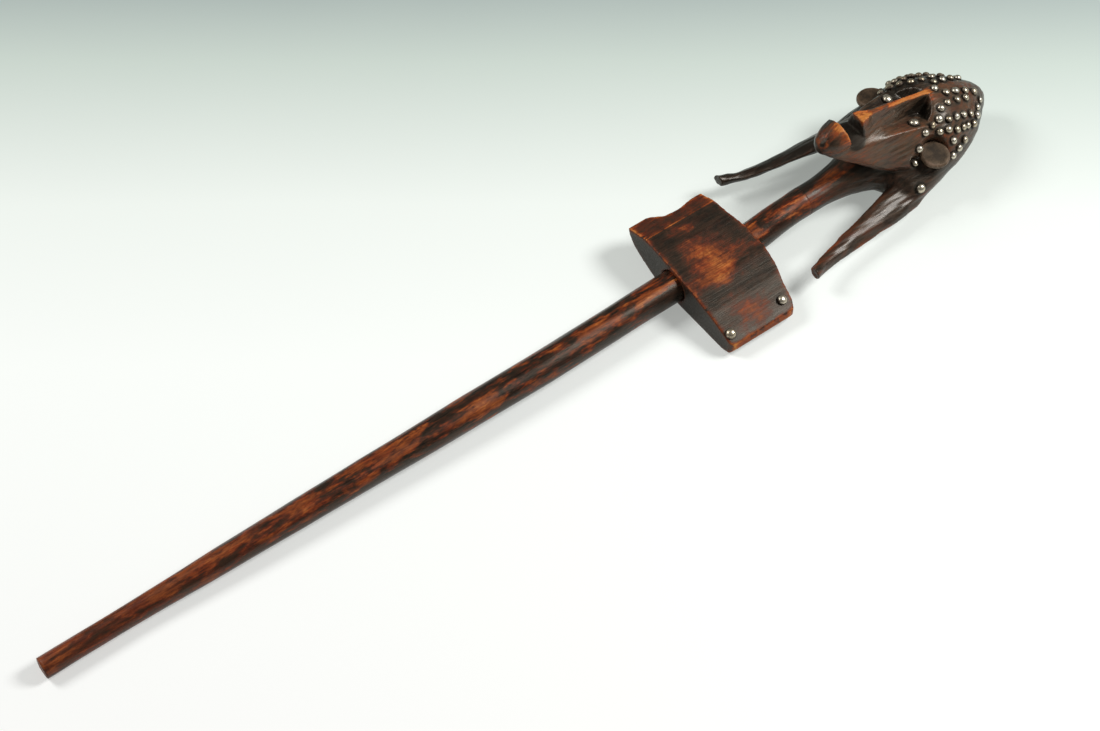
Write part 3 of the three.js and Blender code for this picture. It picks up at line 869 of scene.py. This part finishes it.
def ear_collar(node, side):
    """A closed part ring on the crown's side of the ear, that slopes down to its disc"""
    centre, axis, reach = measure_disc(node, side)
    inward = np.cross([side, 0, 0], axis)
    corners = []
    for turn in np.linspace(-COLLAR_HALF_TURN, COLLAR_HALF_TURN, COLLAR_STEPS + 1):
        ray = inward * math.cos(turn) + np.array([1, 0, 0]) * math.sin(turn)
        rise = max(math.cos(turn), 0) * COLLAR_RISE
        near, far = centre + ray * (reach + COLLAR_GAP), centre + ray * (reach + COLLAR_WIDTH)
        deep = axis * COLLAR_DEPTH
        corners += [near - deep, near - axis * MM, far + axis * (rise - MM), far - deep]
    faces = [(0, 1, 2, 3), tuple(4 * COLLAR_STEPS + corner for corner in (3, 2, 1, 0))]
    for step in range(0, 4 * COLLAR_STEPS, 4):
        for corner in range(4):
            after = (corner + 1) % 4
            faces.append((step + corner, step + 4 + corner, step + 4 + after, step + after))
    mesh = bpy.data.meshes.new(f"{node}_collar")
    mesh.from_pydata(corners, [], faces)
    return mesh


print("Collars can be built")

# %% Find the wood near the ears and on the horns
EAR_BLEND = (14 * MM, 7 * MM)
HORN_SIDE = (16 * MM, 8 * MM)
HORN_TOP = (42 * MM, 8 * MM)
HORN_ROOT = (330 * MM, 15 * MM)


def fading(values, start, length):
    """1 up to the start, and down to 0 over the length"""
    return np.clip(1 - (values - start) / length, 0, 1)


def near_the_ears(points):
    gaps = [np.linalg.norm(points - centre, axis=1) for centre, _, _ in ear_discs.values()]
    return fading(np.min(gaps, axis=0), *EAR_BLEND)[:, None]


def on_the_horns(points):
    """1 on the two horns, which reach out low beside the neck, and 0 elsewhere"""
    along, across, height = points.T
    beside = 1 - fading(abs(across - HEAD_MIDDLE), *HORN_SIDE)
    return beside * fading(height, *HORN_TOP) * fading(along, *HORN_ROOT)


print("The ears' and horns' wood can be found")

# %% Join the neck to the shaft
NECK_REACH = 16 * MM
JOIN_LENGTH = 16 * MM


def join_neck(mesh):
    """The neck starts with the shaft's own uneven outline, so that no step shows between them"""
    seam, axis, tenon_reach = neck_ring[0], neck_ring[1:3], tenon_end[3]
    ring = points_of(shaft.data)
    ring = ring[abs(ring[:, 0] - seam + MM) < 1.2 * MM][:, 1:] - axis
    ring = ring[np.linalg.norm(ring, axis=1) > tenon_reach + MM]
    turns = np.arctan2(ring[:, 1], ring[:, 0])
    order = np.argsort(turns)
    points = points_of(mesh)
    spokes = points[:, 1:] - axis
    reach = np.linalg.norm(spokes, axis=1)
    aim = np.interp(np.arctan2(spokes[:, 1], spokes[:, 0]), turns[order],
                    np.linalg.norm(ring[order], axis=1), period=2 * math.pi)
    outside = (reach > tenon_reach + 1.5 * MM) * (reach < NECK_REACH) * (points[:, 0] > seam - MM)
    share = fading(points[:, 0], seam + MM, JOIN_LENGTH) * outside
    scale = 1 + share * (aim / np.maximum(reach, MM) - 1)
    points[:, 1:] = axis + spokes * scale[:, None]
    put_points(mesh, points)


print("The neck can be joined")

# %% Carve the head
collars = [ear_collar("left_ear", -1), ear_collar("right_ear", 1)]
head = even_skin("head_piece", "head", 1.0 * MM, collars)
plane_flats(head.data, crease=math.radians(30), turns=60, moves=25)
soften(head.data, rounds=2)
soften(head.data, rounds=14, share=near_the_ears(points_of(head.data)))
tool_marks(head.data, depth=0.45 * MM, length=26 * MM, width=11 * MM, seed=7)
tool_marks(head.data, depth=0.4 * MM, length=36 * MM, width=3.4 * MM, seed=19)
horns = on_the_horns(points_of(head.data))
tool_marks(head.data, depth=0.55 * MM, length=16 * MM, width=3.2 * MM, seed=23, share=horns)
join_neck(head.data)
measure_ridges(head.data)
head_tree = measure_hollow_shade(head.data, reach=16 * MM, rays=12)
keep_inside(head.data)
shade_smooth(head)
head.data.materials.append(head_wood)
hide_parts("head")
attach(head, "root")
print("Head:", len(head.data.polygons), "faces")

# %% [markdown]
# The ears are pegs with a sawn round end. Their end grain was never polished, so it is matt and
# grey-brown with darker specks. Its rim is a little glossier, and it is painted lighter all
# round as a painted highlight.

# %% Ear finish
EAR_COLOURS = [(0.1, (0.016, 0.01, 0.006)), (0.45, (0.048, 0.03, 0.017)),
               (0.75, (0.09, 0.056, 0.034)), (1.0, (0.17, 0.11, 0.075))]


def ear_finish():
    material, bench, place = new_finish("sawn_ear_wood")
    specks = bench.noise(place, scale=900, detail=4, roughness=0.7)
    clouds = bench.noise(place, scale=160, detail=3)
    ridge = bench.attribute("ridge")
    # The rim is painted lighter: a painted highlight
    shade = (specks - 0.5) * 0.8 + (clouds - 0.5) * 1.4 + ridge * 1.5 + 0.27
    bump = bench.add("ShaderNodeBump", {}, {
        "Strength": 0.5, "Distance": 0.3 * MM, "Height": specks})
    close_finish(bench, {"IOR": 1.4, "Specular Tint": WARM_GLOSS}, {
        "Base Color": bench.ramp(shade, EAR_COLOURS), "Roughness": 0.6 - ridge * 0.2,
        "Normal": bump})
    return material


ear_wood = ear_finish()
print("Finish:", ear_wood.name)

# %% Carve the ears
for number, node in enumerate(("left_ear", "right_ear")):
    ear = even_skin(f"{node}_piece", node, 0.5 * MM)
    plane_flats(ear.data, crease=math.radians(30), turns=30, moves=15)
    tool_marks(ear.data, depth=0.3 * MM, length=9 * MM, width=9 * MM, seed=11 + number)
    measure_ridges(ear.data)
    shade_smooth(ear)
    ear.data.materials.append(ear_wood)
    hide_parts(node)
    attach(ear, "root")
    print("Ear:", node, len(ear.data.polygons), "faces")

# %% [markdown]
# The tacks are domed brass upholstery tacks, rubbed pale, with dirt round their rims. They all
# have one shape, so Geometry Nodes set one tack shape on every seat. A seat is a point with the
# tack's direction and width. The frame's own tacks give most seats, each found from the pointed
# end of its shank to the top of its dome, which are the two points of it that lie farthest apart.

# %% Tack finish
PALE_BRASS = (0.66, 0.61, 0.51, 1)
DULL_BRASS = (0.46, 0.38, 0.26, 1)
TACK_DIRT = (0.05, 0.032, 0.02, 1)
# The tacks are painted darker to the far side as shade, between these places across the wand
SHADED_FAR_SIDE = (0.012, 0.03)


def tack_finish():
    material, bench, place = new_finish("rubbed_tack_brass")
    scratches = bench.noise(place, scale=1400, detail=4, roughness=0.7)
    stains = bench.noise(place, scale=420, detail=3, roughness=0.6)
    mood = bench.attribute("mood")
    across = bench.add("ShaderNodeSeparateXYZ", {}, {0: place}, "Y")
    # Painted shade: tacks toward the far side turn duller and darker
    mood = mood + bench.step(across, *SHADED_FAR_SIDE) * 0.55
    clean = bench.step(bench.attribute("rise") + (stains - 0.5) * 1.1 - mood * 0.25, 0.1, 0.6)
    brass = bench.blend(mood, PALE_BRASS, DULL_BRASS)
    bump = bench.add("ShaderNodeBump", {}, {
        "Strength": 0.35, "Distance": 0.2 * MM, "Height": scratches})
    close_finish(bench, {"IOR": 1.5}, {
        "Base Color": bench.blend(clean, TACK_DIRT, brass), "Metallic": clean * 0.45 + 0.5,
        "Roughness": 0.56 - clean * 0.22 + (scratches - 0.5) * 0.2, "Normal": bump})
    return material


tack_brass = tack_finish()
print("Finish:", tack_brass.name)

# %% Find the seats
SHANK_LENGTH = 8 * MM
DOME_HEIGHT = 3 * MM
CROWN_TALLNESS = 1.12
CROWN_WIDTH = 0.93


def tack_seat(node):
    points = unique_points(node)
    gaps = np.linalg.norm(points[:, None] - points[None], axis=2)
    ends = points[list(np.unravel_index(gaps.argmax(), gaps.shape))]
    # Few points lie near the shank's tip and many lie near the dome's top
    company = [(abs(points - end).max(1) < DOME_HEIGHT).sum() for end in ends]
    tip, apex = ends[np.argsort(company)]
    direction = (apex - tip) / np.linalg.norm(apex - tip)
    spokes = points - tip
    off_axis = spokes - np.outer(spokes @ direction, direction)
    radius = np.linalg.norm(off_axis, axis=1).max()
    on_crown = node.startswith("crown")
    return (tip + direction * SHANK_LENGTH, direction, radius * (CROWN_WIDTH if on_crown else 1),
            CROWN_TALLNESS if on_crown else 1.0)


seats = [tack_seat(node) for node in cad if "_tack_" in node]
print(len(seats), "seats from the frame; widths in mm:",
      sorted({round(2 * seat[2] / MM, 1) for seat in seats}))

# %% [markdown]
# The crown's rows are set so thickly that their tacks nearly touch. The frame holds the rows'
# main tacks, and the rest are found here: each place of the full rows, as shares of the head's
# length and half width, gets a tack if no other tack is in its way. It is seated on the carved
# skin of the head, straight below its place in plan.

# %% Find the seats between them
HEAD_START = 0.248
HEAD_LENGTH = 0.194
HEAD_HALF_WIDTH = 0.051
CROWN_ROWS = [
    (0.686, 0.0), (0.716, 0.145), (0.758, 0.133), (0.79, 0.05), (0.822, 0.155), (0.861, 0.175),
    (0.885, 0.182), (0.773, 0.293), (0.826, 0.244), (0.903, 0.288), (0.635, 0.366), (0.614, 0.428),
    (0.597, 0.481), (0.627, 0.516), (0.667, 0.521), (0.716, 0.531), (0.741, 0.522), (0.771, 0.509),
    (0.803, 0.499), (0.829, 0.518), (0.856, 0.416), (0.575, 0.446), (0.524, 0.512), (0.482, 0.599),
    (0.457, 0.637), (0.584, 0.605), (0.616, 0.656), (0.666, 0.684), (0.704, 0.645), (0.745, 0.634),
    (0.782, 0.591), (0.781, 0.647), (0.624, 0.733), (0.669, 0.72), (0.722, 0.735), (0.652, 0.821),
    (0.627, 0.838), (0.693, 0.301), (0.72, 0.476), (0.744, 0.318), (0.785, 0.328), (0.817, 0.291)]
SMALL_TACK = 3.3 * MM
CLOSEST = 6.3 * MM
EAR_REACH = 16 * MM
ABOVE_THE_HEAD = 0.2
LEAST_UPWARD = 0.2


def head_spot(along, across, side):
    place = HEAD_START + along * HEAD_LENGTH, HEAD_MIDDLE + side * across * HEAD_HALF_WIDTH
    down = Vector((0, 0, -1))
    point, facing, _, _ = head_tree.ray_cast(Vector((*place, ABOVE_THE_HEAD)), down)
    return np.array(point), np.array(facing)


for side in (-1, 1):
    for along, across in CROWN_ROWS:
        point, facing = head_spot(along, across, side)
        free = all(np.linalg.norm(point - seat[0]) > CLOSEST for seat in seats)
        from_ears = [np.linalg.norm((point - centre)[:2]) for centre, _, _ in ear_discs.values()]
        if free and min(from_ears) > EAR_REACH and facing[2] > LEAST_UPWARD:
            seats.append((point, facing, SMALL_TACK * CROWN_WIDTH, CROWN_TALLNESS))
print(len(seats), "seats in all")

# %% [markdown]
# A driven tack presses its rim into the wood, and dirt gathers round it. So wood that stands up
# within a dome's reach is drawn down just under its rim, or else the tool marks would cut
# through the domes. How near each point lies to a tack is stored on it, and the wood's finish
# makes grime of that.

# %% Measure the grime round the tacks
GRIME_WIDTH = 1.8 * MM
UNDER_THE_RIM = 0.1 * MM
# In shares of the dome's radius: how far out the wood starts to rise again and over what
# length, and up to what height it is in the dome's way
RISE_START = 1.3
RISE_LENGTH = 0.7
TALLEST = 2.5


def measure_grime(mesh):
    points = points_of(mesh)
    grime = np.zeros(len(points))
    for point, _, radius, _ in seats:
        away = np.linalg.norm(points - point, axis=1)
        grime = np.maximum(grime, fading(away, radius, GRIME_WIDTH))
    store(mesh, "grime", grime)


def give_way(mesh):
    """The wood lies just under each dome's rim and rises again a little way off"""
    points = points_of(mesh)
    for point, direction, radius, _ in seats:
        spokes = points - point
        heights = spokes @ direction
        away = np.linalg.norm(spokes - np.outer(heights, direction), axis=1)
        in_the_way = (heights > 0) * (heights < TALLEST * radius)
        near = fading(away, RISE_START * radius, RISE_LENGTH * radius) * in_the_way
        points -= np.outer(near * (heights + UNDER_THE_RIM), direction)
    put_points(mesh, points)


for carved in (head.data, block.data):
    give_way(carved)
    measure_grime(carved)
print("Grime stored")

# %% [markdown]
# One tack is an outline turned round its own axis. Blender's spin operator could turn it, but it
# writes the faces in another order on each run. So the rings of points are worked out here, and
# the mesh is the same every time.

# %% Shape one tack
TACK_SIDES = 14
# Reach and height as shares of the dome's radius, from the point up
TACK_SHARES = [(0, -1.8), (0.2, -1.35), (0.2, 0), (0.97, 0), (1, 0.07), (0.95, 0.3), (0.82, 0.53),
               (0.58, 0.71), (0.3, 0.8), (0, 0.83)]


def turned(name, outline, sides):
    """The outline turned round Z, with one point at each end, where it meets the axis"""
    turns = [2 * math.pi * side / sides for side in range(sides)]
    points = [(reach * math.cos(turn), reach * math.sin(turn), height)
              for reach, height in outline[1:-1] for turn in turns]
    foot, top = len(points), len(points) + 1
    points += [(0, 0, outline[0][1]), (0, 0, outline[-1][1])]
    faces = []
    for side in range(sides):
        after = (side + 1) % sides
        for ring in range(0, foot - sides, sides):
            faces.append((ring + side, ring + after, ring + sides + after, ring + sides + side))
        faces += [(foot, after, side), (foot - sides + side, foot - sides + after, top)]
    mesh = bpy.data.meshes.new(name)
    mesh.from_pydata(points, [], faces)
    return mesh


tack_shape = turned("tack_shape", TACK_SHARES, TACK_SIDES)
store(tack_shape, "rise", [vertex.co.z / TACK_SHARES[-1][1] for vertex in tack_shape.vertices])
tack_shape.polygons.foreach_set("use_smooth", [True] * len(tack_shape.polygons))
tack_master = bpy.data.objects.new("tack_master", tack_shape)
print("One tack:", len(tack_shape.polygons), "faces")

# %% The tacks' tree
SIZE_RANGE = (0.86, 1.04)


def tack_tree():
    tree, bench, given = new_tree("driven_tacks", {
        "Tack": "NodeSocketObject", "Lean": "NodeSocketFloat", "Brass": "NodeSocketMaterial"})
    shape = bench.add("GeometryNodeObjectInfo", {}, {"Object": given["Tack"]}, "Geometry")
    direction = bench.add(
        "GeometryNodeInputNamedAttribute", {"data_type": "FLOAT_VECTOR"}, {"Name": "direction"})
    width = bench.add("GeometryNodeInputNamedAttribute", {}, {"Name": "width"})
    tallness = bench.add("GeometryNodeInputNamedAttribute", {}, {"Name": "tallness"})
    sway = bench.add("FunctionNodeRandomValue", {"data_type": "FLOAT_VECTOR"}, {
        "Min": (-1, -1, -1), "Max": (1, 1, 1), "Seed": 5}, "Value")
    sway = bench.add("ShaderNodeVectorMath", {"operation": "SCALE"}, {
        0: sway, "Scale": given["Lean"]})
    leaning = bench.add("ShaderNodeVectorMath", {}, {0: direction, 1: sway})
    turn = bench.add("FunctionNodeAlignRotationToVector", {"axis": "Z"}, {"Vector": leaning})
    size = width * bench.add("FunctionNodeRandomValue", {}, {
        "Min_001": SIZE_RANGE[0], "Max_001": SIZE_RANGE[1], "Seed": 6}, "Value_001")
    stretch = bench.add("ShaderNodeCombineXYZ", {}, {0: size, 1: size, 2: size * tallness})
    tacks = bench.add("GeometryNodeInstanceOnPoints", {}, {
        "Points": given["Geometry"], "Instance": shape, "Rotation": turn, "Scale": stretch})
    mood = bench.add("FunctionNodeRandomValue", {}, {"Seed": 7}, "Value_001")
    per_tack = {"data_type": "FLOAT", "domain": "INSTANCE"}
    tacks = bench.add("GeometryNodeStoreNamedAttribute", per_tack, {
        "Geometry": tacks, "Name": "mood", "Value": mood})
    close_tree(bench, tacks, given["Brass"])
    return tree


driven = tack_tree()
print("Tack tree:", len(driven.nodes), "nodes")

# %% Drive the tacks
seat_mesh = bpy.data.meshes.new("tack_seats")
seat_mesh.from_pydata([seat[0] for seat in seats], [], [])
directions = seat_mesh.attributes.new("direction", "FLOAT_VECTOR", "POINT")
directions.data.foreach_set("vector", np.ravel([seat[1] for seat in seats]))
store(seat_mesh, "width", [seat[2] for seat in seats])
store(seat_mesh, "tallness", [seat[3] for seat in seats])
tacks = grow("tack_pieces", seat_mesh, driven, {
    "Tack": tack_master, "Lean": 0.22, "Brass": tack_brass})
bpy.data.objects.remove(tack_master)
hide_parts(*[node for node in cad if "_tack_" in node])
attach(tacks, "root")
print("Tacks:", len(tacks.data.polygons), "faces")

# %% [markdown]
# The stage is a pale floor and soft light. The floor shows its own colour in part, to the camera
# and in reflections, so that it reads as a white sweep, and it still takes the shadows. Its
# colour greys off to the back, which is painted shade of light falling off. More light could
# whiten it too, but would bleach the wand.

# %% Stage
FLOOR_REACH = 6
OWN_SHARE = 0.35
# How far back along the camera's view the paper starts to grey off as painted shade, and where it is
# done
WHITE_UNTIL = -0.35
GREY_FROM = 0.65
# The paper's white, then grey to the back as painted shade of the falloff
PAPER_AND_FALLOFF_COLOURS = [
    (0.0, (1.0, 1.0, 0.985)), (0.36, (0.96, 0.985, 0.955)), (0.52, (0.86, 0.905, 0.86)),
    (0.68, (0.59, 0.665, 0.61)), (0.76, (0.425, 0.49, 0.465)), (1.0, (0.25, 0.3, 0.28))]


def floor_finish():
    material, bench, place = new_finish("pale_floor")
    back = bench.add("ShaderNodeVectorMath", {"operation": "DOT_PRODUCT"}, {
        0: place, 1: (math.sin(LOOK_ASIDE), math.cos(LOOK_ASIDE), 0)}, "Value")
    paper = bench.noise(place, scale=3, detail=2)
    depth = bench.add("ShaderNodeMapRange", {}, {
        "Value": back, "From Min": WHITE_UNTIL, "From Max": GREY_FROM})
    colour = bench.ramp(depth + (paper - 0.5) * 0.02, PAPER_AND_FALLOFF_COLOURS)
    matt = bench.add("ShaderNodeBsdfDiffuse", {}, {"Color": colour})
    shown = bench.add("ShaderNodeEmission", {}, {"Color": colour, "Strength": 1})
    seen = bench.add("ShaderNodeLightPath", result="Is Camera Ray")
    seen = seen + seen.sibling("Is Glossy Ray") + seen.sibling("Is Transmission Ray")
    mixed = bench.add("ShaderNodeMixShader", {}, {0: seen * OWN_SHARE, 1: matt, 2: shown})
    bench.add("ShaderNodeOutputMaterial", {}, {"Surface": mixed})
    return material


floor_mesh = bpy.data.meshes.new("floor")
corners = [(-FLOOR_REACH, -FLOOR_REACH, 0), (FLOOR_REACH, -FLOOR_REACH, 0),
           (FLOOR_REACH, FLOOR_REACH, 0), (-FLOOR_REACH, FLOOR_REACH, 0)]
floor_mesh.from_pydata(corners, [], [(0, 1, 2, 3)])
floor_mesh.materials.append(floor_finish())
floor = bpy.data.objects.new("floor", floor_mesh)
bpy.context.collection.objects.link(floor)
print("Floor laid")


# %% Light
def soft_light(name, place, aim, size, power):
    light = bpy.data.lights.new(name, "AREA")
    light.shape = "DISK"
    light.size = size
    light.energy = power
    holder = bpy.data.objects.new(name, light)
    holder.location = place
    holder.rotation_euler = (Vector(aim) - Vector(place)).to_track_quat("-Z", "Y").to_euler()
    bpy.context.collection.objects.link(holder)


soft_light("right_softbox", place=(1.4, -0.75, 1.6), aim=(0.1, 0, 0), size=0.8, power=42)
soft_light("left_softbox", place=(-1.1, 1.3, 1.9), aim=(0, 0, 0), size=1.0, power=32)
world = bpy.data.worlds.new("studio")
world.use_nodes = True
sky = Bench(world.node_tree)
shade = sky.add("ShaderNodeBackground", {}, {"Color": (0.95, 0.96, 0.9, 1), "Strength": 0.14})
sky.add("ShaderNodeOutputWorld", {}, {"Surface": shade})
bpy.context.scene.world = world
bpy.context.scene.view_settings.view_transform = "Standard"
print("Lights hung")
